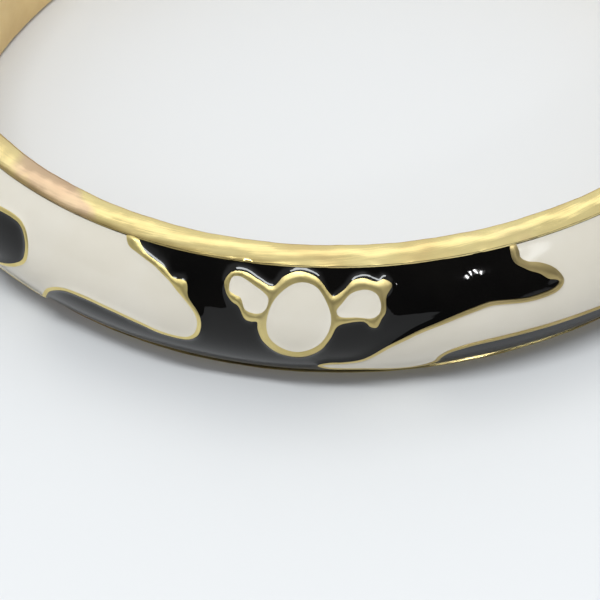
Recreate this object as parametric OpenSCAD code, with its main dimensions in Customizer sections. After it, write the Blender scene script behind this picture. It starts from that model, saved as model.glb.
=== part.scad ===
// Hinged oval bangle: two cast half bands with a domed enamel face, joined by a
// knuckle hinge at the +X end and held shut by a tongue in a slot at the -X end.
// It lies on its side: the band's axis is Z, z = 0 is the face it rests on, and
// the decorated front half is at -Y.

/* [Oval] */
// Width of the opening, along X
inner_w = 58; // [54:0.5:64]
// Depth of the opening, along Y
inner_d = 50; // [48:0.5:54]
// Radius of the opening's two ends
end_r = 17; // [16:0.5:19]

/* [Band] */
// Height of the band
band_h = 10.5; // [10.2:0.1:12]
// Width of the gold rim, from the inner wall out
rim_w = 1.7; // [1.5:0.05:2]
// Rounding of the inner wall's two edges
edge_r = 0.4; // [0.3:0.05:0.9]
// Height of the rim's outer face, above and below the dome
lip_h = 0.3; // [0.2:0.05:0.4]
// How far the dome stands out past the rim
dome_rise = 2.45; // [2:0.05:2.8]
// Gap between one half and the other where their ends meet
end_gap = 0.3; // [0.2:0.05:0.5]

/* [Enamel] */
// Thickness of the enamel at the dome's crown
enamel_t = 0.75; // [0.5:0.05:0.9]
// Thickness of the enamel beside the rim
enamel_edge_t = 0.4; // [0.3:0.05:0.5]
// Height of the gold edge between the rim's lip and the enamel
bezel_h = 0.15; // [0.1:0.05:0.3]
// Length of the plain gold border at each end of a half
border_l = 2.6; // [2:0.1:4]
// Gap between enamel and metal
fit_gap = 0.03; // [0.02:0.01:0.05]

/* [Cell walls] */
// Width of the gold walls between the colours
wall_w = 0.45; // [0.3:0.05:0.6]
// How far the walls stand proud of the enamel
wall_proud = 0.06; // [0.02:0.01:0.1]

/* [Hinge] */
// Radius of the knuckles
knuckle_r = 1.2; // [1.1:0.05:1.2]
// Height of the whole row of three knuckles
knuckles_h = 7; // [6:0.1:7.2]
// Gap above and below the middle knuckle
knuckle_gap = 0.15; // [0.1:0.05:0.3]
// Room round a knuckle in the other half
knuckle_room = 0.25; // [0.2:0.05:0.3]
// Radius of the hinge pin
pin_r = 0.45; // [0.4:0.05:0.5]
// Room round the pin in its bores
pin_room = 0.05; // [0.02:0.01:0.08]
// Radius of the pin's two heads
pin_head_r = 0.75; // [0.65:0.05:0.9]
// Thickness of the pin's heads
pin_head_t = 0.2; // [0.1:0.05:0.3]

/* [Clasp] */
// Thickness of the tongue
tongue_t = 0.8; // [0.6:0.05:0.9]
// Height of the tongue
tongue_h = 3.6; // [3:0.1:4]
// Length of the tongue in each half
tongue_l = 4; // [3:0.1:4.2]
// Distance of the tongue's middle from the inner wall
tongue_off = 1.5; // [1.4:0.05:1.6]
// Room round the tongue in its slot
slot_room = 0.3; // [0.2:0.05:0.35]

/* [Hidden] */
$fn = 96;

gold = "#e3c581";
black = "#101010";
cream = "#dbd7c8";

// The opening is four arcs: two of end_r at the ends, and two of long_r whose
// centres lie on the Y axis. They meet on the lines through two centres.
end_c = inner_w / 2 - end_r;
long_r = (end_c * end_c + inner_d * inner_d / 4 - end_r * end_r) / (inner_d - 2 * end_r);
long_c = long_r - inner_d / 2;

// The dome and the floor under the enamel are arcs about points on the band's mid height.
mid_z = band_h / 2;
dome_half = mid_z - lip_h;
dome_r = (dome_half * dome_half + dome_rise * dome_rise) / (2 * dome_rise);
dome_c = rim_w + dome_rise - dome_r;
bed_half = dome_half - bezel_h;
bed_edge = dome_c + sqrt(dome_r * dome_r - bed_half * bed_half) - enamel_edge_t;
bed_rise = rim_w + dome_rise - enamel_t - bed_edge;
bed_r = (bed_half * bed_half + bed_rise * bed_rise) / (2 * bed_rise);
bed_c = bed_edge + bed_rise - bed_r;

// Charts are drawn on the dome: s is the distance round the band at the rim's
// outer edge, from the middle of the half, and z is the height on a band of height
// chart_h. Points run anticlockwise.
chart_r = long_r + rim_w;
chart_h = 10.5;
function bulge_at(z) = dome_c + sqrt(dome_r * dome_r - pow(min(max(z, lip_h), band_h - lip_h) - mid_z, 2));
function turn_of(s) = s / chart_r * 180 / PI;
function mid_of(chart) = (min([for (p = chart) p[0]]) + max([for (p = chart) p[0]])) / 2;
function seen_from(turn, chart) =
    [for (p = chart) let (z = p[1] * band_h / chart_h)
        [(long_r + bulge_at(z)) * sin(turn_of(p[0]) - turn), z]];
function side(p, q) = [q[1] - p[1], p[0] - q[0]] / norm(q - p);
function grown(ring, by) =
    [for (i = [0:len(ring) - 1])
        let (n = len(ring), out = side(ring[(i + n - 1) % n], ring[(i + 1) % n]))
        ring[i] + by * out];

// Cream patches of the front half, along the middle of their walls
cream_left = [
    [-16.9, 4.3], [-15.4, 4.3], [-14.6, 4.9], [-14.3, 5.9], [-14.5, 6.8], [-15.3, 7.7], [-16.3, 8.5],
    [-17.4, 9.1], [-18.6, 9.5], [-19.6, 10.0], [-20.1, 10.6], [-34.6, 10.6], [-34.9, 9.4], [-33.8, 8.6],
    [-31.5, 8.2], [-28.8, 8.4], [-27.6, 8.1], [-27.0, 7.1], [-27.1, 5.9], [-28.0, 4.9], [-29.4, 3.9],
    [-30.6, 3.2], [-31.2, 2.6], [-30.6, 2.1], [-29.6, 1.8], [-28.2, 1.6], [-26.9, 1.8], [-26.0, 3.1],
    [-25.2, 4.3], [-24.0, 5.1], [-22.4, 5.3], [-20.4, 5.1], [-18.4, 4.7]];
cream_right = [
    [-6.9, 2.65], [-6.1, 2.15], [-4.2, 2.0], [-2.2, 1.55], [-0.6, 1.6], [0.4, 2.2], [0.7, 3.0], [1.3, 3.6],
    [2.6, 3.95], [4.6, 4.05], [7.2, 4.0], [9.9, 3.95], [12.2, 3.8], [14.6, 3.4], [16.4, 2.6], [18.8, 2.2],
    [21.4, 3.0], [22.8, 5.0], [22.6, 7.4], [21.2, 9.2], [20.8, 10.6], [6.1, 10.6], [6.1, 9.5], [6.7, 8.95],
    [7.6, 8.55], [8.4, 8.0], [8.7, 7.45], [8.3, 7.0], [7.4, 6.85], [6.3, 6.85], [5.1, 7.05], [4.0, 7.2],
    [3.0, 7.05], [1.9, 6.8], [0.7, 6.45], [-0.5, 6.05], [-1.5, 5.55], [-2.7, 4.8], [-4.1, 3.6],
    [-5.3, 3.2], [-6.3, 3.08]];
cream_end = [[28.0, 5.8], [28.5, 3.7], [30.6, 2.6], [33.6, 3.0], [35.2, 4.9], [34.8, 7.1], [32.6, 8.4], [29.8, 7.8]];

// Cream patches of the back half
cream_back_left = [[-31.0, 10.6], [-30.2, 8.6], [-28.0, 6.6], [-25.0, 5.0], [-21.5, 4.6], [-19.2, 6.0],
                   [-18.0, 8.2], [-18.4, 10.6]];
cream_back_mid = [[-13.0, -0.1], [6.2, -0.1], [5.4, 2.0], [3.0, 3.8], [-1.0, 4.7], [-4.6, 6.6], [-8.2, 6.9],
                  [-10.6, 5.2], [-12.2, 2.6]];
cream_back_right = [[10.5, 10.6], [11.0, 8.2], [13.4, 6.0], [16.8, 5.3], [19.0, 3.6], [22.4, 2.3], [26.0, 2.7],
                    [27.8, 4.8], [27.2, 7.2], [28.8, 9.0], [29.4, 10.6]];

// The spot in the black: the metal's outer edge, and its three cells
spot_metal = [
    [-4.0, 7.1], [-3.2, 6.6], [-2.6, 7.7], [-2.5, 8.6], [-2.1, 9.2], [-2.6, 9.5], [-3.1, 9.4],
    [-3.9, 9.6], [-4.6, 9.5], [-5.1, 9.1], [-5.7, 8.7], [-6.0, 8.8], [-6.9, 9.6], [-8.0, 9.9],
    [-9.0, 9.6], [-9.7, 9.1], [-11.5, 9.7], [-12.4, 9.6], [-12.9, 9.0], [-12.6, 8.3], [-11.8, 7.7],
    [-11.4, 6.9], [-10.6, 6.8], [-10.2, 5.2], [-9.3, 4.2], [-8.0, 3.9], [-6.8, 4.7], [-6.1, 5.8],
    [-5.6, 6.8]];
spot_egg = [[-6.0, 7.2], [-6.2, 8.2], [-6.8, 9.1], [-7.7, 9.4], [-8.7, 9.1], [-9.6, 8.3], [-10.0, 7.0],
            [-9.9, 5.7], [-9.1, 4.8], [-8.1, 4.5], [-7.0, 5.1], [-6.3, 6.1]];
spot_left = [[-9.9, 8.4], [-10.9, 9.1], [-11.8, 9.4], [-12.4, 9.3], [-12.5, 8.6], [-11.7, 8.3], [-11.4, 7.6],
             [-10.9, 7.3], [-10.3, 7.5]];
spot_right = [[-2.9, 8.3], [-3.2, 8.8], [-3.9, 9.0], [-4.6, 8.9], [-5.3, 8.3], [-5.7, 7.8], [-5.4, 7.4],
              [-3.5, 7.3], [-2.9, 7.8]];
spot_turn = turn_of(mid_of(spot_metal));

module dome_disc(more = 0) { translate([dome_c, mid_z]) circle(r = dome_r + more); }
module bed_disc(more = 0) { translate([bed_c, mid_z]) circle(r = bed_r + more); }

// Section of the solid band: x runs out from the inner wall
module band_section() {
    difference() {
        union() {
            square([rim_w, band_h]);
            intersection() {
                translate([0, lip_h]) square([rim_w + dome_rise, 2 * dome_half]);
                dome_disc();
            }
        }
        for (z = [0, band_h]) {
            difference() {
                translate([-1, z - edge_r]) square([edge_r + 1, 2 * edge_r]);
                translate([edge_r, z == 0 ? edge_r : band_h - edge_r]) circle(r = edge_r);
                translate([-2, z == 0 ? edge_r : -1]) square([2 + edge_r, band_h - edge_r + 1]);
            }
        }
    }
}

// Section of the band with the bed cut in it for the enamel
module bed_section() {
    difference() {
        band_section();
        difference() {
            translate([0, mid_z - bed_half]) square([rim_w + dome_rise + 1, 2 * bed_half]);
            bed_disc();
        }
    }
}

// Section between the bed and the dome, grown outward by more and inward by less
module layer_section(more = 0, less = 0, half = bed_half) {
    difference() {
        intersection() {
            translate([0, mid_z - half]) square([rim_w + dome_rise + 1, 2 * half]);
            dome_disc(more);
        }
        bed_disc(less);
    }
}

// Sweeps a section round the front half's long arc
module long_arc() {
    intersection() {
        translate([0, long_c, 0]) rotate_extrude() translate([long_r, 0]) children();
        translate([0, 0, -1]) linear_extrude(height = band_h + 2) polygon([
            [0, long_c], [-5 * end_c, -join], [-5 * end_c, -2 * long_r],
            [5 * end_c, -2 * long_r], [5 * end_c, -join]]);
    }
}
// Sweeps a section round both end arcs of the front half, between two lines from each
// arc's centre; a line is given by its depth where it is 4 * end_c from that centre
module end_arcs(from, to) {
    for (flip = [0, 1]) mirror([flip, 0, 0]) intersection() {
        translate([end_c, 0, 0]) rotate_extrude() translate([end_r, 0]) children();
        translate([0, 0, -1]) linear_extrude(height = band_h + 2)
            polygon([[end_c, 0], [5 * end_c, -to], [5 * end_c, -from]]);
    }
}
join = 4 * long_c;
// Neighbouring stretches run past the line where they meet by a hair, so that they fuse
join_lap = 0.01;
border = (border_l + end_gap / 2) * 4 * end_c / (end_r + rim_w);

// A straight-sided block seen square on at a given turn round the front
module block(turn) {
    translate([0, long_c, 0]) rotate([0, 0, turn]) rotate([90, 0, 0])
        translate([0, 0, long_r * 0.7]) linear_extrude(height = long_r * 0.6) children();
}
module patch(chart, grow) {
    turn = turn_of(mid_of(chart));
    block(turn) polygon(grown(seen_from(turn, chart), grow));
}
module patch_wall(chart) {
    turn = turn_of(mid_of(chart));
    flat = seen_from(turn, chart);
    block(turn) difference() {
        polygon(grown(flat, wall_w / 2));
        polygon(grown(flat, -wall_w / 2));
    }
}
module spot_cells(grow) {
    for (cell = [spot_egg, spot_left, spot_right])
        polygon(grown(seen_from(spot_turn, cell), grow));
}

front_charts = [cream_left, cream_right, cream_end];
back_charts = [cream_back_left, cream_back_mid, cream_back_right];

// Half bands, both drawn at -Y
module bare_half() {
    long_arc() bed_section();
    end_arcs(border, join + join_lap) bed_section();
    difference() {
        end_arcs(0, border + join_lap) band_section();
        translate([-inner_w, -end_gap / 2, -1]) cube([2 * inner_w, 2 * end_gap, band_h + 2]);
    }
}
module walls(charts) {
    intersection() {
        long_arc() layer_section(wall_proud, -0.1, bed_half + 0.05);
        union() for (chart = charts) patch_wall(chart);
    }
}
module enamel_layer() {
    long_arc() layer_section(0, fit_gap, bed_half - fit_gap);
    end_arcs(border + 4 * fit_gap, join + join_lap) layer_section(0, fit_gap, bed_half - fit_gap);
}
module black_enamel(charts) {
    difference() {
        enamel_layer();
        for (chart = charts) patch(chart, wall_w / 2 + fit_gap);
    }
}
module cream_enamel(charts) {
    intersection() {
        long_arc() layer_section(0, fit_gap, bed_half - fit_gap);
        union() for (chart = charts) patch(chart, -wall_w / 2 - fit_gap);
    }
}

// Hinge: the knuckles are flush with the dome's crown
hinge_x = inner_w / 2 + rim_w + dome_rise - knuckle_r;
knuckles_z = mid_z - knuckles_h / 2;
knuckle_h = (knuckles_h - 2 * knuckle_gap) / 3;
function knuckle_z(i) = knuckles_z + i * (knuckle_h + knuckle_gap);
module knuckle(i) { translate([hinge_x, 0, knuckle_z(i)]) cylinder(r = knuckle_r, h = knuckle_h); }
module knuckle_space(i) {
    low = i == 0 ? knuckles_z - knuckle_gap - pin_head_t : knuckle_z(i) - knuckle_gap;
    high = i == 2 ? knuckles_z + knuckles_h + knuckle_gap + pin_head_t : knuckle_z(i) + knuckle_h + knuckle_gap;
    translate([hinge_x, 0, low]) cylinder(r = knuckle_r + knuckle_room, h = high - low);
}
module pin_bore() {
    translate([hinge_x, 0, -1]) cylinder(r = pin_r + pin_room, h = band_h + 2);
}
module head_space(top) {
    translate([hinge_x, 0, top ? knuckles_z + knuckles_h : -1])
        cylinder(r = knuckle_r + knuckle_room, h = knuckles_z + 1);
}

// Clasp
tongue_x = -(inner_w / 2 + tongue_off);
module tongue_block(room, from, to) {
    translate([tongue_x - tongue_t / 2 - room, from, mid_z - tongue_h / 2 - room])
        cube([tongue_t + 2 * room, to - from, tongue_h + 2 * room]);
}

module front_shell() {
    color(gold) difference() {
        union() {
            difference() {
                bare_half();
                knuckle_space(1);
                head_space(true);
                head_space(false);
            }
            walls(front_charts);
            intersection() {
                long_arc() layer_section(wall_proud, -0.1, bed_half + 0.05);
                block(spot_turn) difference() {
                    polygon(seen_from(spot_turn, spot_metal));
                    spot_cells(0);
                }
            }
            knuckle(0);
            knuckle(2);
        }
        pin_bore();
        tongue_block(fit_gap, -tongue_l - fit_gap, 1);
    }
}

module back_shell() {
    color(gold) difference() {
        union() {
            difference() {
                rotate([0, 0, 180]) {
                    bare_half();
                    walls(back_charts);
                }
                knuckle_space(0);
                knuckle_space(2);
            }
            knuckle(1);
        }
        pin_bore();
        tongue_block(slot_room, -1, tongue_l + 2 * slot_room);
    }
}

module front_black_enamel() {
    color(black) difference() {
        black_enamel(front_charts);
        block(spot_turn) polygon(grown(seen_from(spot_turn, spot_metal), fit_gap));
    }
}
module front_cream_enamel() { color(cream) cream_enamel(front_charts); }
module spot_enamel() {
    color(cream) intersection() {
        long_arc() layer_section(0, fit_gap, bed_half - fit_gap);
        block(spot_turn) spot_cells(-fit_gap);
    }
}
module back_black_enamel() { color(black) rotate([0, 0, 180]) black_enamel(back_charts); }
module back_cream_enamel() { color(cream) rotate([0, 0, 180]) cream_enamel(back_charts); }

module hinge_pin() {
    color(gold) translate([hinge_x, 0, knuckles_z - pin_head_t]) {
        cylinder(r = pin_r, h = knuckles_h + 2 * pin_head_t);
        cylinder(r = pin_head_r, h = pin_head_t - fit_gap);
        translate([0, 0, knuckles_h + pin_head_t + fit_gap]) cylinder(r = pin_head_r, h = pin_head_t - fit_gap);
    }
}

module clasp_tongue() { color(gold) tongue_block(0, -tongue_l, tongue_l); }

front_shell();
back_shell();
front_black_enamel();
front_cream_enamel();
spot_enamel();
back_black_enamel();
back_cream_enamel();
hinge_pin();
clasp_tongue();
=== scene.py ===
"""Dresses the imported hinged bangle: gold bands with raised cell walls and glossy enamel.

The pattern's charts are the ones in part.scad: s runs round the band at the rim's outer
edge, from the middle of a half, and z is the height, both in millimetres.
"""
import math

import bmesh
import bpy
import numpy as np
from mathutils import Matrix, Vector
from mathutils.geometry import delaunay_2d_cdt
from mathutils.kdtree import KDTree


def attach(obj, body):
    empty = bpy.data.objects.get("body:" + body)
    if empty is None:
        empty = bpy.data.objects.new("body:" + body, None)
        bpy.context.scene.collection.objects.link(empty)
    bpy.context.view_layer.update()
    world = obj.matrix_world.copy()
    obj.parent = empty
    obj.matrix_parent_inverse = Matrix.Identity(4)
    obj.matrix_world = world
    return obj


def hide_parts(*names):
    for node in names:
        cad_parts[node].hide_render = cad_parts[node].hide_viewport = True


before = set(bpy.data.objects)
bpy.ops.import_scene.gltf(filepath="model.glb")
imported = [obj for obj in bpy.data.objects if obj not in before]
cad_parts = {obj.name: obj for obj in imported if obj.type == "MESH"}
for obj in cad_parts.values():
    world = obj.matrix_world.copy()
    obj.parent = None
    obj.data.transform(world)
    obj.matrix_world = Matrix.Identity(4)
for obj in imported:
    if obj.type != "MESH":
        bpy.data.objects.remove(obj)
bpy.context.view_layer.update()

MM = 0.001

# Sizes of the band, in millimetres, as in part.scad
LONG_R = 30.0
LONG_C = 5.0
END_R = 17.0
END_C = 12.0
RIM_W = 1.7
BAND_H = 10.5
MID_Z = 5.25
DOME_RISE = 2.45
DOME_HALF = 4.95
DOME_R = 6.2255
DOME_C = -2.0755
LIP_H = 0.3
BED_HALF = 4.8
CHART_R = LONG_R + RIM_W
END_CHART_R = END_R + RIM_W
JOIN_TURN = math.atan2(END_C, LONG_C)
JOIN_S = CHART_R * JOIN_TURN
HALF_S = JOIN_S + END_CHART_R * (math.pi / 2 - JOIN_TURN)
END_GAP = 0.3
BORDER_S = HALF_S - 2.75

# Details of the finish, in millimetres, and the walls' slope and rounding as shares
INNER_U = -0.18
EDGE_R = 0.42
CORNER_U = 1.81
CORNER_W = 0.02
CORNER_H = 0.038
BEAD_EDGE = 1.85
BEAD_LAP = 0.02
CROWN = 0.1235
CROWN_MID = 0.45
CROWN_REACH = 0.85
BED_DEPTH = 0.45
GLAZE_FOOT = 0.02
WALL_ROOT = 0.1
WALL_W = 0.27
WALL_FOOT = 0.05
WALL_SLOPE = 0.42
WALL_HALF = 0.5
WALL_ROUND = 0.4
WALL_END_DROP = 0.3
WALL_END_REACH = 0.22

# How high the enamel lies over the dome, and how far it creeps up the walls and the rim
BLACK_LIFT = -0.08
CREAM_LIFT = -0.04
CREEP_H = 0.14
CREEP_W = 0.48
CREAM_CREEP = 0.6
RIM_CREEP_H = 0.01
RIM_CREEP_W = 0.12
CREAM_RIM_H = 0.05
CREAM_RIM_W = 0.1

# From this place on to the right, and over this distance, it lies more level by this share
LEVEL_FROM = -1
LEVEL_OVER = 3.5
LEVEL_SHARE = 0.9

# Ripple of each surface: height, length and phase
BLACK_RIPPLE = (0.007, 6.0, 0.4)
CREAM_RIPPLE = (0.008, 5.0, 1.7)
WALL_RIPPLE = (0.008, 2.2, 2.9)

# How finely outlines are drawn: the steps along them, points between two of a chart, least of all
OUTLINE_STEP = 0.1
SPOT_STEP = 0.07
FRAME_STEP = 0.2
CURVE_POINTS = 12
LEAST_POINTS = 12

# How finely the face is cut into triangles: rings beside the outlines, and a grid elsewhere
RINGS = (0.03, 0.08, 0.15, 0.24, 0.36)
THIN_PAST = 0.2
GRID = 0.38
GRID_ROW = 0.87
GRID_CLEAR = 0.45
LIPS_PAST = 0.15
SAME_POINT = 1e-5

# How much nearer than asked a moved point may lie to its outline and still be kept
OFFSET_SLACK = 0.004
RING_SLACK = 0.006
WALL_SLACK = 0.008

# How finely the band is cut: points round its section, and sections along each half
INNER_POINTS = 7
EDGE_POINTS = 10
FLAT_POINTS = 12
DOME_POINTS = 33
END_SECTIONS = 13
BED_SECTIONS = 341

# Cosine and sine of the photograph's elevation, and the sine times the dome's bend
SEEN_LEVEL = 0.719
SEEN_DOWN = 0.695
SEEN_BEND = 0.139

# Faces that meet at more than this angle keep a crisp edge, in degrees
SHARP_AT = 40.0
BAND_SHARP_AT = 32

# Corners of a mesh that are nearer than this are one, in metres
MERGE_AT = 1e-7

# Cream patches of the front half, along the middle of their walls
CREAM_LEFT = [
    (-16.9, 4.3), (-15.4, 4.3), (-14.6, 4.9), (-14.3, 5.9), (-14.5, 6.8), (-15.3, 7.7),
    (-16.3, 8.5), (-17.4, 9.1), (-18.6, 9.5), (-19.6, 10.0), (-20.1, 10.6), (-34.6, 10.6),
    (-34.9, 9.4), (-33.8, 8.6), (-31.5, 8.2), (-28.8, 8.4), (-27.6, 8.1), (-27.0, 7.1),
    (-27.1, 5.9), (-28.0, 4.9), (-29.4, 3.9), (-30.6, 3.2), (-31.2, 2.6), (-30.6, 2.1),
    (-29.6, 1.8), (-28.2, 1.6), (-26.9, 1.8), (-26.0, 3.1), (-25.2, 4.3), (-24.0, 5.1),
    (-22.4, 5.3), (-20.4, 5.1), (-18.4, 4.7)]
CREAM_RIGHT = [
    (-6.9, 2.65), (-6.1, 2.15), (-4.2, 2.0), (-2.2, 1.55), (-0.6, 1.6), (0.4, 2.2), (0.7, 3.0),
    (1.3, 3.6), (2.6, 3.95), (4.6, 4.05), (7.2, 4.0), (9.9, 3.95), (12.2, 3.8), (14.6, 3.4),
    (16.4, 2.6), (18.8, 2.2), (21.4, 3.0), (22.8, 5.0), (22.6, 7.4), (21.2, 9.2), (20.8, 10.6),
    (6.1, 10.6), (6.1, 9.5), (6.7, 8.95), (7.6, 8.55), (8.4, 8.0), (8.7, 7.45), (8.3, 7.0),
    (7.4, 6.85), (6.3, 6.85), (5.1, 7.05), (4.0, 7.2), (3.0, 7.05), (1.9, 6.8), (0.7, 6.45),
    (-0.5, 6.05), (-1.5, 5.55), (-2.7, 4.8), (-4.1, 3.6), (-5.3, 3.2), (-6.3, 3.08)]
CREAM_END = [
    (28.0, 5.8), (28.5, 3.7), (30.6, 2.6), (33.6, 3.0), (35.2, 4.9), (34.8, 7.1),
    (32.6, 8.4), (29.8, 7.8)]

# Cream patches of the back half
CREAM_BACK_LEFT = [
    (-31.0, 10.6), (-30.2, 8.6), (-28.0, 6.6), (-25.0, 5.0), (-21.5, 4.6), (-19.2, 6.0),
    (-18.0, 8.2), (-18.4, 10.6)]
CREAM_BACK_MID = [
    (-13.0, -0.1), (6.2, -0.1), (5.4, 2.0), (3.0, 3.8), (-1.0, 4.7), (-4.6, 6.6),
    (-8.2, 6.9), (-10.6, 5.2), (-12.2, 2.6)]
CREAM_BACK_RIGHT = [
    (10.5, 10.6), (11.0, 8.2), (13.4, 6.0), (16.8, 5.3), (19.0, 3.6), (22.4, 2.3),
    (26.0, 2.7), (27.8, 4.8), (27.2, 7.2), (28.8, 9.0), (29.4, 10.6)]

# Where the casting left a wall wider: place, reach, and width added on the black and cream sides
WIDER = (
    (-15.75, 8.15, 0.5, 0.54, 0.03), (-19.7, 10.0, 0.8, 0.26, 0.23), (-17.0, 8.95, 0.5, 0.1, 0.02),
    (7.5, 8.55, 1.1, 0.15, 0.17), (8.2, 8.15, 0.55, 0.22, 0.07), (6.1, 9.7, 0.5, 0.13, 0.15))

# The spot in the black: the metal's outer edge, and its three cells
SPOT_METAL = [
    (-4.0, 7.1), (-3.6, 6.7), (-3.2, 6.65), (-2.9, 7.2), (-2.6, 7.7), (-2.5, 8.6),
    (-2.1, 9.2), (-2.6, 9.5), (-3.1, 9.4), (-3.9, 9.6), (-4.6, 9.5), (-5.1, 9.1),
    (-5.7, 8.75), (-6.0, 8.8), (-6.8, 9.6), (-8.0, 9.9), (-9.0, 9.65), (-9.7, 9.1),
    (-10.6, 9.35), (-11.5, 9.65), (-12.4, 9.6), (-12.85, 9.1), (-12.7, 8.5), (-12.3, 8.0),
    (-11.8, 7.7), (-11.4, 6.95), (-11.0, 6.8), (-10.6, 6.8), (-10.55, 6.2), (-10.2, 5.2),
    (-9.3, 4.2), (-8.0, 3.9), (-6.8, 4.7), (-6.1, 5.8), (-5.65, 6.75), (-4.9, 7.05)]
SPOT_EGG = [
    (-6.0, 7.2), (-6.2, 8.2), (-6.8, 9.1), (-7.7, 9.4), (-8.7, 9.15), (-9.6, 8.3),
    (-10.0, 7.0), (-9.85, 5.7), (-9.1, 4.8), (-8.1, 4.5), (-7.0, 5.1), (-6.3, 6.1)]
SPOT_LEFT = [
    (-9.95, 8.4), (-10.3, 8.75), (-10.9, 9.05), (-11.8, 9.4), (-12.4, 9.3), (-12.5, 8.65),
    (-12.1, 8.4), (-11.7, 8.25), (-11.4, 7.6), (-10.9, 7.4), (-10.4, 7.45), (-10.05, 7.8)]
SPOT_RIGHT = [
    (-2.9, 8.3), (-3.1, 8.75), (-3.6, 9.0), (-4.2, 9.0), (-4.8, 8.8), (-5.3, 8.3),
    (-5.65, 7.85), (-5.4, 7.45), (-4.4, 7.4), (-3.5, 7.3), (-3.05, 7.55), (-2.9, 7.9)]


# Placing points on the band

def place(s, u, z, back=False):
    """Points at distance s round the band, u out from the inner wall and height z."""
    s, u, z = np.broadcast_arrays(np.asarray(s, float), np.asarray(u, float), np.asarray(z, float))
    side = np.sign(s)
    past = np.maximum(np.abs(s) - JOIN_S, 0)
    turn = np.minimum(np.abs(s), JOIN_S) / CHART_R + past / END_CHART_R
    on_end = past > 0
    radius = np.where(on_end, END_R, LONG_R) + u
    x = side * (np.where(on_end, END_C, 0) + radius * np.sin(turn))
    y = np.where(on_end, 0, LONG_C) - radius * np.cos(turn)
    y = np.minimum(y, -END_GAP / 2)
    points = np.stack([x, y, z], -1)
    if back:
        points[..., :2] *= -1
    return points


def dome_at(z, lift=0.0):
    """Where the face lies at height z: its shoulders are a little flatter than the source's arc."""
    rise = z - MID_Z
    lean = np.arctan(2 * DOME_RISE * rise / DOME_HALF ** 2)
    u = RIM_W + DOME_RISE * (1 - (rise / DOME_HALF) ** 2)
    return u + lift * np.cos(lean), z + lift * np.sin(lean)


def on_dome(chart, lift, back=False):
    """Chart points laid on the dome, raised along its normal by lift.

    The charts were drawn for the source's arc, so points of the upper half move a little
    down the shoulder, and the pattern keeps its look from the photograph's angle.
    """
    rise = np.clip(chart[:, 1] - MID_Z, -DOME_HALF, DOME_HALF)
    arc_u = DOME_C + np.sqrt(DOME_R ** 2 - rise ** 2)
    gap = arc_u - dome_at(MID_Z + rise)[0]
    shift = np.where(rise > 0, gap / (SEEN_LEVEL + SEEN_BEND * rise), 0) * SEEN_DOWN
    u, z = dome_at(chart[:, 1] - shift, lift)
    return place(chart[:, 0], u, z, back)


# Outlines in the chart

def evenly(loop, step):
    """Points at even steps along a closed outline."""
    closed = np.vstack([loop, loop[:1]])
    run = np.concatenate([[0], np.cumsum(np.hypot(*np.diff(closed, axis=0).T))])
    at = np.linspace(0, run[-1], max(int(run[-1] / step), LEAST_POINTS), endpoint=False)
    return np.column_stack([np.interp(at, run, closed[:, k]) for k in (0, 1)])


def smooth(chart, step=OUTLINE_STEP):
    """A closed curve through the chart's points, straight where it leaves the band."""
    p = np.array(chart, float)
    t = np.linspace(0, 1, CURVE_POINTS, endpoint=False)[:, None]
    rows = []
    for a, b, c, d in zip(np.roll(p, 1, 0), p, np.roll(p, -1, 0), np.roll(p, -2, 0)):
        if max(b[1], c[1]) > BAND_H or min(b[1], c[1]) < 0:
            rows.append(b + (c - b) * t)
            continue
        bend = (2 * a - 5 * b + 4 * c - d) * t ** 2 + (3 * b - a - 3 * c + d) * t ** 3
        rows.append(0.5 * (2 * b + (c - a) * t + bend))
    return evenly(np.concatenate(rows), step)


def distance(points, loops):
    """Distance from each point to the nearest of several closed outlines."""
    corners = np.vstack(loops)
    after = np.vstack([np.roll(loop, -1, 0) for loop in loops])
    before = np.vstack([np.roll(loop, 1, 0) for loop in loops])
    tree = KDTree(len(corners))
    for i, (s, z) in enumerate(corners):
        tree.insert((s, z, 0), i)
    tree.balance()
    near = np.array([tree.find((s, z, 0))[1] for s, z in points])
    found = []
    for other in (after, before):
        a = corners[near]
        along = other[near] - a
        t = ((points - a) * along).sum(1) / np.maximum((along ** 2).sum(1), 1e-12)
        foot = a + np.clip(t, 0, 1)[:, None] * along
        found.append(np.linalg.norm(points - foot, axis=1))
    return np.minimum(*found)


def inside(points, loop):
    """Which points lie inside a closed outline, from how many of its edges each has on one side."""
    after = np.roll(loop, -1, 0)
    count = np.zeros(len(points), int)
    for (s0, z0), (s1, z1) in zip(loop, after):
        if z0 != z1:
            spans = (points[:, 1] < z0) != (points[:, 1] < z1)
            at = s0 + (points[:, 1] - z0) * (s1 - s0) / (z1 - z0)
            count += spans & (points[:, 0] < at)
    return count % 2 == 1


def way_out(loop):
    """The direction out of an outline at each of its points."""
    along = np.roll(loop, -1, 0) - np.roll(loop, 1, 0)
    return np.column_stack([along[:, 1], -along[:, 0]]) / np.linalg.norm(along, axis=1)[:, None]


def offset(loop, by):
    """The outline moved outward by a distance, without the loops that this makes at corners."""
    moved = loop + by * way_out(loop)
    return moved[distance(moved, [loop]) > abs(by) - OFFSET_SLACK]


def wall_edge(mid, way):
    """One edge of a wall, outward (1) or inward (-1) of its middle line."""
    half_w = np.full(len(mid), WALL_W / 2)
    for s, z, reach, on_black, on_cream in WIDER:
        near = np.exp(-((mid[:, 0] - s) ** 2 + (mid[:, 1] - z) ** 2) / reach ** 2)
        half_w += near * (on_black if way > 0 else on_cream)
    moved = mid + (way * half_w)[:, None] * way_out(mid)
    return moved[distance(moved, [mid]) > WALL_W / 2 - WALL_SLACK]


def frame_loop(half_s, low, high):
    """The outline of a rectangle in the chart."""
    corners = np.array([(-half_s, low), (half_s, low), (half_s, high), (-half_s, high)])
    return evenly(corners, FRAME_STEP)


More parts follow.
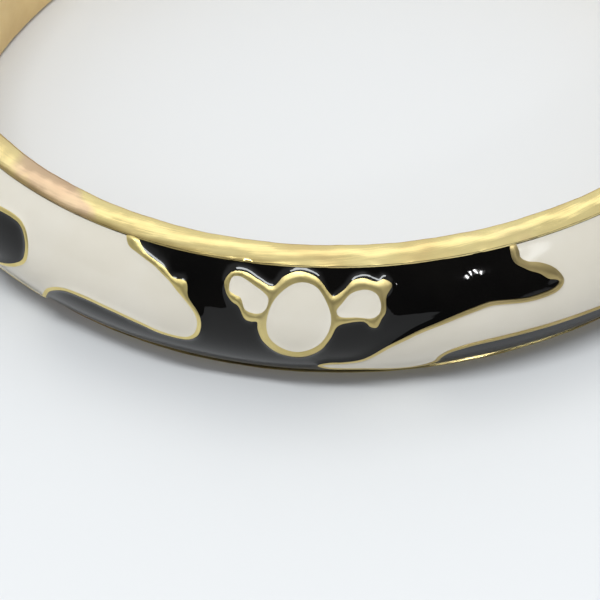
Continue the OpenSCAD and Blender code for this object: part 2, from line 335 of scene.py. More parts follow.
# Waves of every ripple: height, turns along the band and up it, and share of the phase
RIPPLE_WAVES = ((1, 0.61, 0.83, 1), (1, 1.13, -0.47, 2.1), (0.6, 0.37, 1.71, 3.7))


def ripple(chart, size, length, phase):
    """A gentle unevenness of a surface, in millimetres."""
    s, z = chart[:, 0] * 2 * math.pi / length, chart[:, 1] * 2 * math.pi / length
    total = 0
    for height, by_s, by_z, share in RIPPLE_WAVES:
        total = total + height * np.sin(s * by_s + z * by_z + share * phase)
    return size * total / sum(wave[0] for wave in RIPPLE_WAVES)


# Meshes

def add_object(name, verts, faces, sharp_at=SHARP_AT):
    mesh = bpy.data.meshes.new(name)
    mesh.from_pydata((np.asarray(verts) * MM).tolist(), [], [list(map(int, f)) for f in faces])
    mesh.validate()
    obj = bpy.data.objects.new(name, mesh)
    bpy.context.scene.collection.objects.link(obj)
    soften(obj, sharp_at)
    return obj


def soften(obj, sharp_at=SHARP_AT):
    """Smooth shading, with edges kept crisp where the faces meet at more than an angle."""
    form = bmesh.new()
    form.from_mesh(obj.data)
    bmesh.ops.remove_doubles(form, verts=form.verts, dist=MERGE_AT)
    bmesh.ops.recalc_face_normals(form, faces=form.faces)
    for face in form.faces:
        face.smooth = True
    for edge in form.edges:
        if len(edge.link_faces) == 2:
            edge.smooth = edge.calc_face_angle(0) < math.radians(sharp_at)
    form.to_mesh(obj.data)
    form.free()


def slab(name, chart, triangles, top, bottom, back):
    """A closed sheet on the dome: the triangles at the top lifts, at the bottom, and a skirt."""
    used, index = np.unique(triangles, return_inverse=True)
    tri = index.reshape(-1, 3)
    n = len(used)
    upper = on_dome(chart[used], top[used], back)
    lower = on_dome(chart[used], np.full(n, bottom), back)
    edges = np.vstack([tri[:, [0, 1]], tri[:, [1, 2]], tri[:, [2, 0]]])
    known = set(map(tuple, edges.tolist()))
    skirt = [(b, a, a + n, b + n) for a, b in known if (b, a) not in known]
    faces = tri.tolist() + (tri[:, ::-1] + n).tolist() + skirt
    return add_object(name, np.vstack([upper, lower]), faces)


def filling(loops, lips):
    """Points that fill the face: rings beside each outline, and a grid between them."""
    free = []
    for loop in loops:
        for by in RINGS:
            for way in (1, -1):
                ring = offset(loop, way * by)
                ring = ring[::2] if by > THIN_PAST else ring
                free.append(ring[distance(ring, loops) > by - RING_SLACK])
    rows = []
    for k, z in enumerate(np.arange(LIP_H, BAND_H, GRID * GRID_ROW)):
        s = np.arange(-BORDER_S, BORDER_S, GRID) + (k % 2) * GRID / 2
        rows.append(np.column_stack([s, np.full(len(s), z)]))
    grid = np.vstack(rows)
    free.append(grid[distance(grid, loops) > GRID_CLEAR])
    free = np.vstack(free)
    return free[inside(free, lips)]


def triangulate(loops, free):
    """Chart points and triangles, with every outline kept as a run of edges."""
    corners = []
    joins = []
    for loop in loops:
        first = len(corners)
        count = len(loop)
        corners.extend(map(tuple, loop.tolist()))
        joins.extend((first + i, first + (i + 1) % count) for i in range(count))
    corners.extend(map(tuple, free.tolist()))
    out = delaunay_2d_cdt([Vector(c) for c in corners], joins, [], 0, SAME_POINT)
    return np.array([tuple(v) for v in out[0]]), np.array(out[2])


def inside_any(points, loops):
    """Which points lie inside at least one of several closed outlines."""
    found = np.zeros(len(points), bool)
    for loop in loops:
        found |= inside(points, loop)
    return found


def lifts(chart, edges, field):
    """How far the black, the cream and the walls stand over the dome at each chart point."""
    from_edge = distance(chart, edges)
    from_rim = distance(chart, [field])
    level = LEVEL_SHARE * np.clip((chart[:, 0] - LEVEL_FROM) / LEVEL_OVER, 0, 1)
    creep = CREEP_H * (1 - level) * np.clip(1 - from_edge / CREEP_W, 0, 1) ** 2
    creep = creep + RIM_CREEP_H * np.exp(-from_rim / RIM_CREEP_W)
    black = BLACK_LIFT + creep + ripple(chart, *BLACK_RIPPLE)
    cream = CREAM_LIFT + CREAM_CREEP * creep + ripple(chart, *CREAM_RIPPLE)
    cream = cream + CREAM_RIM_H * np.exp(-from_rim / CREAM_RIM_W)

    climbed = np.minimum(from_edge, WALL_HALF)
    walls = WALL_FOOT + WALL_SLOPE * climbed * (1 - WALL_ROUND * climbed / WALL_HALF)
    walls = walls + ripple(chart, *WALL_RIPPLE)
    to_lip = np.minimum(chart[:, 1] - LIP_H, BAND_H - LIP_H - chart[:, 1])
    drop = np.clip((WALL_END_REACH - to_lip) / WALL_END_REACH, 0, 1)
    return black, cream, walls - WALL_END_DROP * drop ** 2


def surface_pieces(half, patches, spot, back):
    """Cuts the face of one half into black, cream, spot and gold walls, and makes each one."""
    mids = [smooth(chart) for chart in patches]
    outers = [offset(mid, WALL_W / 2) if back else wall_edge(mid, 1) for mid in mids]
    inners = [offset(mid, -WALL_W / 2) if back else wall_edge(mid, -1) for mid in mids]
    metal = [smooth(chart, SPOT_STEP) for chart in spot[:1]]
    cells = [smooth(chart, SPOT_STEP) for chart in spot[1:]]
    field = frame_loop(BORDER_S, MID_Z - BED_HALF, MID_Z + BED_HALF)
    lips = frame_loop(BORDER_S + LIPS_PAST, LIP_H, BAND_H - LIP_H)
    edges = outers + inners + metal + cells
    everything = edges + [field]
    chart, triangles = triangulate(everything + [lips], filling(everything, lips))

    middle = chart[triangles].mean(1)
    on_face = inside(middle, field)
    in_outer = inside_any(middle, outers)
    in_inner = inside_any(middle, inners)
    in_metal = inside_any(middle, metal)
    in_cell = inside_any(middle, cells)
    on_walls = (in_outer & ~in_inner & inside(middle, lips)) | (in_metal & ~in_cell)
    on_black = on_face & ~in_outer & ~in_metal
    on_cream = on_face & in_inner
    black, cream, walls = lifts(chart, edges, field)
    foot = GLAZE_FOOT - BED_DEPTH
    root = -BED_DEPTH - WALL_ROOT
    made = {
        "walls": slab(half + "_cell_walls", chart, triangles[on_walls], walls, root, back),
        "black": slab(half + "_black_glaze", chart, triangles[on_black], black, foot, back),
        "cream": slab(half + "_cream_glaze", chart, triangles[on_cream], cream, foot, back)}
    if cells:
        made["spot"] = slab(half + "_spot_glaze", chart, triangles[in_cell], cream, foot, back)
    return made


# The gold bands

def band_section(face):
    """Closed section of the band: inner wall, two beads, and the bed or the plain dome."""
    top = BAND_H
    inner_z = np.linspace(EDGE_R, top - EDGE_R, INNER_POINTS)
    inner_wall = np.column_stack([np.full(INNER_POINTS, INNER_U), inner_z])
    turn = np.radians(np.linspace(180, 90, EDGE_POINTS)[1:])
    inner_top = np.column_stack([
        INNER_U + EDGE_R + EDGE_R * np.cos(turn), top - EDGE_R + EDGE_R * np.sin(turn)])
    flat_u = np.linspace(inner_top[-1][0], CORNER_U, FLAT_POINTS)[1:]
    upper = np.vstack([inner_top, np.column_stack([flat_u, np.full(len(flat_u), top)])])
    upper[:, 1] -= CROWN * ((upper[:, 0] - CROWN_MID) / CROWN_REACH) ** 2
    upper = np.vstack([upper, upper[-1] + (CORNER_W, -CORNER_H)])
    foot = np.array([BEAD_EDGE, MID_Z + BED_HALF + BEAD_LAP])
    face_down = upper[-1] + (foot - upper[-1]) * np.array([[0.25], [0.5], [0.75], [1.0]])
    upper = np.vstack([upper, face_down])
    lower = np.column_stack([upper[:, 0], top - upper[:, 1]])[::-1]
    reach = BED_HALF - BEAD_LAP
    dome_z = MID_Z + np.linspace(reach, -reach, DOME_POINTS)
    dome = np.column_stack(dome_at(dome_z, 0.0 if face == "plain" else -BED_DEPTH))
    return np.vstack([inner_wall, upper, dome, lower])


# Nicks in the rim's outer edge: place along the band, depth and width
NICKS = (
    (-12.6, 0.05, 0.16), (-11.5, 0.05, 0.2), (-10.9, 0.04, 0.15), (3.4, 0.05, 0.14), (3.9, 0.06, 0.14),
    (6.5, 0.06, 0.16), (7.1, 0.05, 0.14), (7.6, 0.06, 0.15), (-3.0, 0.03, 0.3), (-19.5, 0.04, 0.25),
    (-24.0, 0.05, 0.3), (11.0, 0.04, 0.22), (17.0, 0.05, 0.25), (28.0, 0.04, 0.3))
NICK_U = 1.79
NICK_REACH = 0.12

# Waves of the polish: height, radians in a millimetre along the band, out from it and up it, start
WAVES = ((0.013, 0.9, 2.2, 0, 0), (0.008, 2.3, -3.1, 0, 1.3), (0.004, 5.1, 0, 1.7, 0))
BACK_PHASE = 1.9

# The polish strays only on the rims: from this far above and below the middle, over this reach
RIM_FROM = 4.6
RIM_OVER = 0.5


def hand_finish(s, section, back):
    """How far the polish strays from the true section, in millimetres: soft waves and nicks."""
    u, z = section.T
    phase = BACK_PHASE if back else 0.0
    wave = np.zeros(len(section))
    for height, by_s, by_u, by_z, start in WAVES:
        wave = wave + height * np.sin(s * by_s + u * by_u + z * by_z + start + phase)
    on_edge = np.exp(-((u - NICK_U) / NICK_REACH) ** 2) * (z > MID_Z)
    if not back:
        for at, depth, width in NICKS:
            wave = wave - depth * math.exp(-((s - at) / width) ** 2) * on_edge
    return wave * np.clip((np.abs(z - MID_Z) - RIM_FROM) / RIM_OVER, 0, 1)


def sweep(stretches, back):
    """Sweeps the band's section along a half, closed at both ends, with a step at each new face."""
    rings = []
    for face, stops in stretches:
        section = band_section(face)
        edge = np.roll(section, -1, 0) - np.roll(section, 1, 0)
        normal = np.column_stack([-edge[:, 1], edge[:, 0]]) / np.linalg.norm(edge, axis=1)[:, None]
        for s in stops:
            moved = section + normal * hand_finish(s, section, back)[:, None]
            rings.append(place(s, moved[:, 0], moved[:, 1], back))
    n = len(rings[0])
    faces = []
    for i in range(len(rings) - 1):
        for j in range(n):
            k = (j + 1) % n
            faces.append((i * n + j, i * n + k, i * n + n + k, i * n + n + j))
    faces.append(tuple(range(n))[::-1])
    faces.append(tuple(range((len(rings) - 1) * n, len(rings) * n)))
    return np.vstack(rings), faces


def turned(z0, z1, r, ease=0.0, sides=48):
    """A round block on the hinge's line, with its edges eased by a distance."""
    profile = [(r, z0), (r, z1)]
    if ease:
        profile = [(r - ease, z0), (r, z0 + ease), (r, z1 - ease), (r - ease, z1)]
    verts = []
    faces = []
    n = len(profile)
    for i in range(sides):
        a = 2 * math.pi * i / sides
        k = (i + 1) % sides
        verts.extend((HINGE_X + q * math.cos(a), q * math.sin(a), z) for q, z in profile)
        faces.extend((i * n + j, k * n + j, k * n + j + 1, i * n + j + 1) for j in range(n - 1))
    faces.append([i * n for i in range(sides)][::-1])
    faces.append([i * n + n - 1 for i in range(sides)])
    return verts, faces


def brick(low, high):
    """A box between two corners."""
    verts = [(x, y, z) for x in (low[0], high[0]) for y in (low[1], high[1]) for z in (low[2], high[2])]
    faces = [(0, 1, 3, 2), (4, 6, 7, 5), (0, 4, 5, 1), (2, 3, 7, 6), (0, 2, 6, 4), (1, 5, 7, 3)]
    return verts, faces


def carve(obj, shapes, operation):
    """Joins or cuts closed shapes into an object."""
    for verts, faces in shapes:
        tool = add_object("tool", verts, faces)
        step = obj.modifiers.new("step", "BOOLEAN")
        step.operation = operation
        step.solver = "EXACT"
        step.object = tool
        bpy.context.view_layer.objects.active = obj
        bpy.ops.object.modifier_apply(modifier=step.name)
        bpy.data.objects.remove(tool)


# Hinge and clasp, in millimetres, as in part.scad
HINGE_X = 31.95
KNUCKLE_R = 1.2
KNUCKLE_ROOM = 0.25
KNUCKLE_LOW = 1.75
KNUCKLE_H = 2.2333
KNUCKLE_GAP = 0.15
KNUCKLE_EASE = 0.06
PIN_BORE_R = 0.5
PIN_BORE_SIDES = 32
PIN_HEAD_T = 0.2
TONGUE_X = (-30.9, -30.1)
TONGUE_Y = 4.0
TONGUE_Z = (3.45, 7.05)
SOCKET_ROOM = 0.03
SLOT_ROOM = 0.3
SLOT_PAST = 0.6

# How far a cut reaches past what it cuts
PAST = 1


def knuckle_span(i):
    """The lower and the upper end of a knuckle, counted from below."""
    low = KNUCKLE_LOW + i * (KNUCKLE_H + KNUCKLE_GAP)
    return low, low + KNUCKLE_H


def tongue_room(room, y0, y1):
    """The space round the tongue, with room above, below and on both faces."""
    low = (TONGUE_X[0] - room, y0, TONGUE_Z[0] - room)
    high = (TONGUE_X[1] + room, y1, TONGUE_Z[1] + room)
    return brick(low, high)


def make_band(half, back):
    """The gold band of one half, with its share of the hinge and the room for the tongue."""
    last = HALF_S - END_GAP / 2
    rings, faces = sweep((
        ("plain", np.linspace(-last, -BORDER_S, END_SECTIONS)),
        ("bed", np.linspace(-BORDER_S, BORDER_S, BED_SECTIONS)),
        ("plain", np.linspace(BORDER_S, last, END_SECTIONS))), back)
    band = add_object(half + "_band", rings, faces, BAND_SHARP_AT)
    lowest, middle, highest = [knuckle_span(i) for i in range(3)]
    gap = KNUCKLE_GAP
    if back:
        own = [middle]
        clear = [
            (lowest[0] - gap - PIN_HEAD_T, lowest[1] + gap),
            (highest[0] - gap, highest[1] + gap + PIN_HEAD_T)]
        room = tongue_room(SLOT_ROOM, -PAST, TONGUE_Y + SLOT_PAST)
    else:
        own = [lowest, highest]
        clear = [(middle[0] - gap, middle[1] + gap), (highest[1], BAND_H + PAST), (-PAST, lowest[0])]
        room = tongue_room(SOCKET_ROOM, -TONGUE_Y - SOCKET_ROOM, PAST)
    carve(band, [turned(*span, KNUCKLE_R + KNUCKLE_ROOM) for span in clear], "DIFFERENCE")
    carve(band, [turned(*span, KNUCKLE_R, KNUCKLE_EASE) for span in own], "UNION")
    bore = turned(-PAST, BAND_H + PAST, PIN_BORE_R, 0.0, PIN_BORE_SIDES)
    carve(band, [bore, room], "DIFFERENCE")
    soften(band, BAND_SHARP_AT)
    return band


# A face is of the inner wall where it looks inward at least this squarely
INWARD = 0.75


def line_inside(band, material):
    """Gives the band's inner wall a finish of its own."""
    band.data.materials.append(material)
    for face in band.data.polygons:
        away = Vector((face.center.x, face.center.y, 0)).normalized()
        if face.normal.dot(away) < -INWARD:
            face.material_index = 1


# Nodes: every helper takes the material, or the world, that it adds to

def new_material(name):
    mat = bpy.data.materials.new(name)
    mat.use_nodes = True
    mat.node_tree.nodes.clear()
    out = mat.node_tree.nodes.new("ShaderNodeOutputMaterial")
    shader = mat.node_tree.nodes.new("ShaderNodeBsdfPrincipled")
    mat.node_tree.links.new(shader.outputs[0], out.inputs["Surface"])
    return mat, shader


def add_node(mat, kind, inputs=(), **settings):
    """A new node, with each of its inputs linked to a socket or set to a value."""
    node = mat.node_tree.nodes.new(kind)
    for key, value in settings.items():
        setattr(node, key, value)
    for key, value in inputs:
        if isinstance(value, bpy.types.NodeSocket):
            mat.node_tree.links.new(value, node.inputs[key])
        else:
            node.inputs[key].default_value = value
    return node


def link(mat, shader, key, value):
    mat.node_tree.links.new(value, shader.inputs[key])


def calculate(mat, operation, *values):
    return add_node(mat, "ShaderNodeMath", enumerate(values), operation=operation).outputs[0]


def noise(mat, place_at, scale, detail=3.0, rough=0.5):
    return add_node(mat, "ShaderNodeTexNoise", (
        ("Vector", place_at), ("Scale", scale), ("Detail", detail), ("Roughness", rough))).outputs["Fac"]


def ramp(mat, fac, stops, easing="LINEAR"):
    node = add_node(mat, "ShaderNodeValToRGB", (("Fac", fac),))
    node.color_ramp.interpolation = easing
    elements = node.color_ramp.elements
    while len(elements) < len(stops):
        elements.new(0.5)
    for element, (at, colour) in zip(elements, stops):
        element.position = at
        element.color = (*colour, 1)
    return node.outputs["Color"]


def map_range(mat, value, start, end, low=0.0, high=1.0, easing="LINEAR"):
    """A value taken from the range start to end into the range low to high, and kept within it."""
    return add_node(mat, "ShaderNodeMapRange", (
        ("Value", value), ("From Min", start), ("From Max", end), ("To Min", low), ("To Max", high)),
        interpolation_type=easing).outputs[0]


def spread(mat, fac, low, high):
    """A noise, which stays mostly between 0.3 and 0.7, spread over the range low to high."""
    return map_range(mat, fac, 0.3, 0.7, low, high)


def mix_colours(mat, share, first, second):
    return add_node(
        mat, "ShaderNodeMix", ((0, share), (6, first), (7, second)), data_type="RGBA").outputs[2]


def where(mat, stretch=(1, 1, 1)):
    coords = add_node(mat, "ShaderNodeTexCoord").outputs["Object"]
    return add_node(mat, "ShaderNodeMapping", (("Vector", coords), ("Scale", stretch))).outputs[0]


def split(mat, vector):
    return add_node(mat, "ShaderNodeSeparateXYZ", ((0, vector),)).outputs


def bump(mat, height, strength, depth, under=None):
    inputs = [("Height", height), ("Strength", strength), ("Distance", depth)]
    if under is not None:
        inputs.append(("Normal", under))
    return add_node(mat, "ShaderNodeBump", inputs).outputs[0]


# Materials: how many times a noise repeats in a metre, and depths of bumps in metres

TONE_SCALE = 260
PATCH_SCALE = 420
GRAIN_SCALE = 1500
SCRATCH_SCALE = 5200
LINE_SCALE = 5600
GRAIN_DEPTH = 0.00003
SCRATCH_DEPTH = 0.00001
LINE_DEPTH = 0.00002
ENAMEL_TONE_SCALE = 180
SWELL_SCALE = 330
HAZE_SCALE = 900
DIMPLE_SCALE = 2000
SWELL_DEPTH = 0.00006
DIMPLE_DEPTH = 0.00001
FLOOR_TONE_SCALE = 9

# How many times closer the noise repeats along X, Y and Z in the scratches and the polishing lines
SCRATCH_STRETCH = (1, 1, 0.25)
LINE_STRETCH = (0.08, 0.08, 0.9)

# The rosy worn plating on the left, also darker as painted shade where the light falls off: where it
# begins, where it fades, and how strong it is before and after
WORN_SHADE_FROM = (-20.5 * MM, -21.9 * MM)
WORN_SHADE_TO = (-24.0 * MM, -26.2 * MM)
WORN_SHADE_SHARE = (0.9, 0.15)
WORN_SHADE_DRIFT = 6 * MM

# Painted shade, a darker gold along the enamel: how far out it begins and is full, and how uneven that
# is
RIM_SHADE_COLOUR = (0.20, 0.13, 0.03, 1)
RIM_SHADE_OUT = (1.52 * MM, 2.03 * MM)
RIM_SHADE_DRIFT = 0.3 * MM

# The painted shade lies only on the rims, this far above and below the middle, and is fainter away from
# the left
RIM_SHADE_HEIGHTS = (4.6 * MM, 4.75 * MM)
RIM_SHADE_SHARE = 0.74
RIM_SHADE_LEFT = (-3 * MM, -12 * MM)
RIM_SHADE_RIGHT_SHARE = 0.15

# Where the cell walls turn from painted highlight, brighter on the left, to painted shade on the right
WALLS_LIT_TO_SHADED = (-16 * MM, 4 * MM)


def gold_material(name, stops, rough, scratch=0.25, painted_shade=None):
    """Plated gold with fine scratches. With shaded tones too, it turns to them towards the right as
    painted shade, and stays brighter on the left as painted highlight.
    """
    mat, shader = new_material(name)
    at = where(mat)
    tone = noise(mat, at, TONE_SCALE, detail=2.0)
    colour = ramp(mat, tone, stops)
    if painted_shade:
        # Painted highlight on the left, painted shade towards the right
        toward_shade = map_range(mat, split(mat, at)["X"], *WALLS_LIT_TO_SHADED)
        colour = mix_colours(mat, toward_shade, colour, ramp(mat, tone, painted_shade))
    link(mat, shader, "Base Color", colour)
    fine = noise(mat, where(mat, SCRATCH_STRETCH), SCRATCH_SCALE, detail=2.0, rough=0.6)
    grain = noise(mat, at, GRAIN_SCALE, detail=3.0, rough=0.6)
    link(mat, shader, "Roughness", spread(mat, grain, low=rough - 0.05, high=rough + 0.07))
    soft = bump(mat, grain, strength=0.35, depth=GRAIN_DEPTH)
    link(mat, shader, "Normal", bump(mat, fine, scratch, SCRATCH_DEPTH, under=soft))
    shader.inputs["Metallic"].default_value = 1.0
    return mat


def outward(mat, sides):
    """How far a point lies out from the oval of the inner wall, with its long and its end arcs."""
    along = calculate(mat, "ABSOLUTE", sides["X"])
    deep = calculate(mat, "ADD", calculate(mat, "ABSOLUTE", sides["Y"]), LONG_C * MM)
    end_along = calculate(mat, "SUBTRACT", along, END_C * MM)
    reach = []
    for a, b, r in ((along, deep, LONG_R), (end_along, sides["Y"], END_R)):
        from_centre = add_node(mat, "ShaderNodeCombineXYZ", ((0, a), (1, b))).outputs[0]
        length = add_node(mat, "ShaderNodeVectorMath", ((0, from_centre),), operation="LENGTH")
        reach.append(calculate(mat, "SUBTRACT", length.outputs["Value"], r * MM))
    on_end = calculate(mat, "GREATER_THAN", calculate(mat, "MULTIPLY", along, LONG_C / END_C), deep)
    return add_node(mat, "ShaderNodeMix", ((0, on_end), (2, reach[0]), (3, reach[1]))).outputs[0]


def band_material(name, stops, rosy, rough):
    """Plated gold, with polishing lines along the band, worn rosier where a hand opens it, and darker
    there as painted shade.

    Painted shade darkens it along the enamel, on the rims' outer edges, most of all on the left.
    """
    mat, shader = new_material(name)
    at = where(mat)
    tone = noise(mat, at, TONE_SCALE, detail=2.0)
    patchy = noise(mat, at, PATCH_SCALE, detail=2.0)
    sides = split(mat, at)
    # Rosy wear on the left, its darkness there painted shade
    drift = calculate(mat, "MULTIPLY_ADD", patchy, WORN_SHADE_DRIFT, -WORN_SHADE_DRIFT / 2)
    along = calculate(mat, "ADD", sides["X"], drift)
    worn_shade_from = map_range(mat, along, *WORN_SHADE_FROM, easing="SMOOTHSTEP")
    worn_shade_to = map_range(mat, along, *WORN_SHADE_TO, *WORN_SHADE_SHARE, "SMOOTHSTEP")
    worn_and_shaded = calculate(mat, "MULTIPLY", worn_shade_from, worn_shade_to)
    gold = mix_colours(mat, worn_and_shaded, ramp(mat, tone, stops), ramp(mat, tone, rosy))

    across = outward(mat, sides)
    reach = calculate(mat, "MULTIPLY_ADD", patchy, RIM_SHADE_DRIFT, across)
    from_mid = calculate(mat, "ABSOLUTE", calculate(mat, "SUBTRACT", sides["Z"], MID_Z * MM))
    # Painted shade: a darker, more saturated gold on the rims next to the enamel, strongest on the left
    far_out = map_range(mat, reach, *RIM_SHADE_OUT, easing="SMOOTHSTEP")
    on_rim = map_range(mat, from_mid, *RIM_SHADE_HEIGHTS, 0.0, RIM_SHADE_SHARE)
    on_left = map_range(mat, along, *RIM_SHADE_LEFT, RIM_SHADE_RIGHT_SHARE, 1.0, "SMOOTHSTEP")
    painted_shade = calculate(mat, "MULTIPLY", calculate(mat, "MULTIPLY", far_out, on_left), on_rim)
    link(mat, shader, "Base Color", mix_colours(mat, painted_shade, gold, RIM_SHADE_COLOUR))

    lines_at = add_node(mat, "ShaderNodeCombineXYZ", ((0, across),)).outputs[0]
    wander = add_node(
        mat, "ShaderNodeVectorMath", ((0, where(mat, LINE_STRETCH)), (1, lines_at)), operation="ADD")
    lines = noise(mat, wander.outputs[0], LINE_SCALE, detail=2.0, rough=0.6)
    grain = noise(mat, at, GRAIN_SCALE, detail=3.0, rough=0.6)
    link(mat, shader, "Roughness", spread(mat, lines, low=rough - 0.05, high=rough + 0.08))
    soft = bump(mat, grain, strength=0.15, depth=GRAIN_DEPTH)
    link(mat, shader, "Normal", bump(mat, lines, strength=0.6, depth=LINE_DEPTH, under=soft))
    shader.inputs["Metallic"].default_value = 1.0
    return mat


def enamel_material(name, stops, rough, ior):
    """Glossy enamel with a faint haze, a soft swell and fine dimples."""
    mat, shader = new_material(name)
    at = where(mat)
    tone = noise(mat, at, ENAMEL_TONE_SCALE, detail=4.0, rough=0.55)
    link(mat, shader, "Base Color", ramp(mat, tone, stops))
    haze = noise(mat, at, HAZE_SCALE, detail=3.0, rough=0.6)
    link(mat, shader, "Roughness", spread(mat, haze, low=rough, high=rough + 0.04))
    broad = noise(mat, at, SWELL_SCALE, detail=1.0)
    fine = noise(mat, at, DIMPLE_SCALE, detail=1.0)
    swell = bump(mat, broad, strength=0.25, depth=SWELL_DEPTH)
    link(mat, shader, "Normal", bump(mat, fine, strength=0.16, depth=DIMPLE_DEPTH, under=swell))
    shader.inputs["IOR"].default_value = ior
    return mat


# Tones of each material, from the low to the high end of its noise
GOLD_TONES = (
    (0.3, (0.81, 0.63, 0.28)), (0.45, (0.86, 0.71, 0.32)), (0.6, (0.89, 0.75, 0.35)),
    (0.75, (0.85, 0.67, 0.34)))
# The rosy tones are darker than the gold: painted shade where the light falls off at the left end
ROSY_TONES = ((0.3, (0.638, 0.442, 0.293)), (0.5, (0.689, 0.49, 0.331)), (0.7, (0.722, 0.537, 0.354)))
INNER_TONES = ((0.3, (0.74, 0.55, 0.27)), (0.5, (0.79, 0.60, 0.30)), (0.7, (0.84, 0.66, 0.34)))
WALL_TONES = ((0.3, (0.70, 0.575, 0.23)), (0.5, (0.78, 0.65, 0.28)), (0.7, (0.85, 0.72, 0.335)))
# Darker tones that the cell walls turn to on the right: painted shade
SHADED_WALL_TONES = ((0.3, (0.40, 0.31, 0.13)), (0.5, (0.47, 0.37, 0.165)), (0.7, (0.54, 0.43, 0.21)))
PIN_TONES = ((0.3, (0.76, 0.56, 0.28)), (0.7, (0.82, 0.64, 0.36)))
BRASS_TONES = ((0.3, (0.66, 0.48, 0.22)), (0.7, (0.74, 0.56, 0.30)))
BLACK_TONES = ((0.35, (0.0022, 0.0021, 0.0020)), (0.65, (0.0042, 0.0038, 0.0034)))
CREAM_TONES = ((0.3, (0.68, 0.636, 0.54)), (0.5, (0.70, 0.654, 0.56)), (0.7, (0.715, 0.673, 0.586)))
FLOOR_TONES = ((0.3, (0.702, 0.708, 0.716)), (0.7, (0.720, 0.727, 0.734)))

gold_front = band_material("gold_front", GOLD_TONES, ROSY_TONES, rough=0.19)
gold_back = band_material("gold_back", GOLD_TONES, ROSY_TONES, rough=0.22)
inner_gold = gold_material("inner_gold", INNER_TONES, rough=0.36)
wall_gold = gold_material("cell_wall_gold", WALL_TONES, rough=0.46, painted_shade=SHADED_WALL_TONES)
pin_gold = gold_material("pin_metal", PIN_TONES, rough=0.26)
tongue_brass = gold_material("tongue_metal", BRASS_TONES, rough=0.34, scratch=0.5)
black_glaze = enamel_material("black_glaze", BLACK_TONES, rough=0.01, ior=1.36)
cream_glaze = enamel_material("cream_glaze", CREAM_TONES, rough=0.06, ior=1.43)


# Building the two halves

def dress(piece, body, node, material):
    piece.data.materials.clear()
    piece.data.materials.append(material)
    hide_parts(node)
    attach(piece, body)


spot_charts = [SPOT_METAL, SPOT_EGG, SPOT_LEFT, SPOT_RIGHT]
front = surface_pieces("front", [CREAM_LEFT, CREAM_RIGHT, CREAM_END], spot_charts, back=False)
front_band = make_band("front", back=False)
dress(front_band, "front_half", "front_shell", gold_front)
line_inside(front_band, inner_gold)
dress(front["walls"], "front_half", "front_shell", wall_gold)
dress(front["black"], "front_half", "front_black_enamel", black_glaze)
dress(front["cream"], "front_half", "front_cream_enamel", cream_glaze)
dress(front["spot"], "front_half", "spot_enamel", cream_glaze)

back = surface_pieces("back", [CREAM_BACK_LEFT, CREAM_BACK_MID, CREAM_BACK_RIGHT], [], back=True)
back_band = make_band("back", back=True)
dress(back_band, "back_half", "back_shell", gold_back)
line_inside(back_band, inner_gold)
dress(back["walls"], "back_half", "back_shell", wall_gold)
dress(back["black"], "back_half", "back_black_enamel", black_glaze)
dress(back["cream"], "back_half", "back_cream_enamel", cream_glaze)

for node, material in (("hinge_pin", pin_gold), ("clasp_tongue", tongue_brass)):
    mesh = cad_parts[node].data
    mesh.materials.clear()
    mesh.materials.append(material)


# Floor, just under the bangle

FLOOR_HALF = 4000
FLOOR_DROP = 0.01 * MM

floor_mat, floor_shader = new_material("pale_floor")
cloud = noise(floor_mat, where(floor_mat), FLOOR_TONE_SCALE, detail=2.0)
link(floor_mat, floor_shader, "Base Color", ramp(floor_mat, cloud, FLOOR_TONES))
floor_shader.inputs["Roughness"].default_value = 0.45
floor_shader.inputs["Specular IOR Level"].default_value = 0.35
corners = [(x * FLOOR_HALF, y * FLOOR_HALF, 0) for x, y in ((-1, -1), (1, -1), (1, 1), (-1, 1))]
floor = add_object("floor", corners, [(0, 1, 2, 3)])
floor.location.z = -FLOOR_DROP
floor.data.materials.append(floor_mat)


# Light: soft boxes round the bangle, and a room that is dim on the camera's side

# What the camera and the soft boxes face: a point at mid height on the front half's inner wall
TARGET = Vector((-7.919, -23.903, 5.22)) * MM

WHITE = (1, 1, 1)

# Azimuth, elevation, distance, width, height, power and tint. The pane is a small window on
# the right, which the cream mirrors near the rim.
SOFT_BOXES = {
    "key_box": (-26, 70, 0.9, 0.5, 0.3, 0.3, (0.96, 0.985, 1.0)),
    "strip_box": (-24, 71, 0.88, 0.62, 0.1, 4.5, (0.94, 0.98, 1.0)),
    "back_box": (180, 59, 1.1, 1.2, 0.34, 0.84, WHITE),
    "fill_box": (-5, 30, 0.9, 0.8, 0.4, 1.6, WHITE),
    "pane": (34.8, 31, 1.0, 0.07, 0.055, 0.075, (0.9, 0.95, 1.0))}

# A row of small bulbs, low on the right, that the black mirrors near the rim
BULBS = ((16.4, 28.6), (17.6, 30.4), (18.8, 30.8), (20.0, 29.2))
BULB = (1.0, 0.006, 0.05, 0.11, WHITE)


def soft_box(name, azimuth, elevation, away, width, height, power, tint):
    data = bpy.data.lights.new(name, "AREA")
    data.shape = "RECTANGLE"
    data.size = width
    data.size_y = height
    data.energy = power
    data.color = tint
    obj = bpy.data.objects.new(name, data)
    bpy.context.scene.collection.objects.link(obj)
    a, e = math.radians(azimuth), math.radians(elevation)
    back_to = Vector((math.sin(a) * math.cos(e), -math.cos(a) * math.cos(e), math.sin(e)))
    obj.location = TARGET + back_to * away
    obj.rotation_mode = "QUATERNION"
    obj.rotation_quaternion = back_to.to_track_quat("Z", "Y")
    return obj


boxes = {name: soft_box(name, *settings) for name, settings in SOFT_BOXES.items()}
boxes["fill_box"].visible_glossy = False
for number, (azimuth, elevation) in enumerate(BULBS):
    soft_box("bulb_%d" % number, azimuth, elevation, *BULB)

# How bright the room is from low on the camera's side, over the top, to low behind
ROOM_STEPS = ((0.4, 0.04), (0.58, 0.74), (0.79, 0.74), (0.87, 0.66), (1.0, 0.84))
ROOM_TINT = (0.97, 0.985, 1.0, 1)
BACKDROP = (0.86, 0.865, 0.875, 1)

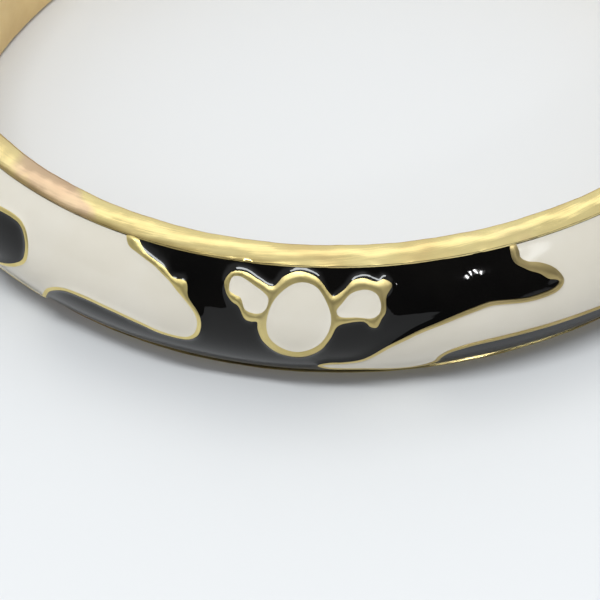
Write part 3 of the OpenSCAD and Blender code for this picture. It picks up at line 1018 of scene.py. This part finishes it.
# The steps run along a direction's Y part plus this share of its Z part, between these two sums
UP_SHARE = 0.8
STEPS_FROM = -1.0
STEPS_TO = 1.3

world = bpy.data.worlds.new("room")
world.use_nodes = True
world.node_tree.nodes.clear()
toward = split(world, add_node(world, "ShaderNodeTexCoord").outputs["Generated"])
along_room = calculate(world, "MULTIPLY_ADD", toward["Z"], UP_SHARE, toward["Y"])
shade = map_range(world, along_room, STEPS_FROM, STEPS_TO)
sky = ramp(world, shade, [(at, (grey, grey, grey)) for at, grey in ROOM_STEPS], "EASE")
room_light = add_node(world, "ShaderNodeBackground", (("Strength", sky), ("Color", ROOM_TINT)))
backdrop = add_node(world, "ShaderNodeBackground", (("Color", BACKDROP),))
seen = add_node(world, "ShaderNodeLightPath").outputs["Is Camera Ray"]
both = add_node(world, "ShaderNodeMixShader", (
    (0, seen), (1, room_light.outputs[0]), (2, backdrop.outputs[0])))
add_node(world, "ShaderNodeOutputWorld", (("Surface", both.outputs[0]),))
bpy.context.scene.world = world

bpy.context.scene.view_settings.view_transform = "Standard"
bpy.context.scene.view_settings.look = "None"


# Camera, at the photograph's angle

CAMERA_AWAY = 0.286
LENS = 257.4
ELEVATION = math.radians(43.99)
YAW = math.radians(5.48)
ROLL = math.radians(-3.42)
level_way = math.cos(ELEVATION)
back_way = Vector((-math.sin(YAW) * level_way, -math.cos(YAW) * level_way, math.sin(ELEVATION)))
right_level = Vector((math.cos(YAW), -math.sin(YAW), 0))
up_level = back_way.cross(right_level)
right = right_level * math.cos(ROLL) + up_level * math.sin(ROLL)
up = -right_level * math.sin(ROLL) + up_level * math.cos(ROLL)
camera_data = bpy.data.cameras.new("camera")
camera_data.lens = LENS
camera_data.sensor_width = 36
camera_data.clip_start = 0.01
camera_data.clip_end = 20
camera = bpy.data.objects.new("camera", camera_data)
bpy.context.scene.collection.objects.link(camera)
turn = Matrix((right, up, back_way)).transposed().to_4x4()
camera.matrix_world = Matrix.Translation(TARGET + back_way * CAMERA_AWAY) @ turn
bpy.context.scene.camera = camera
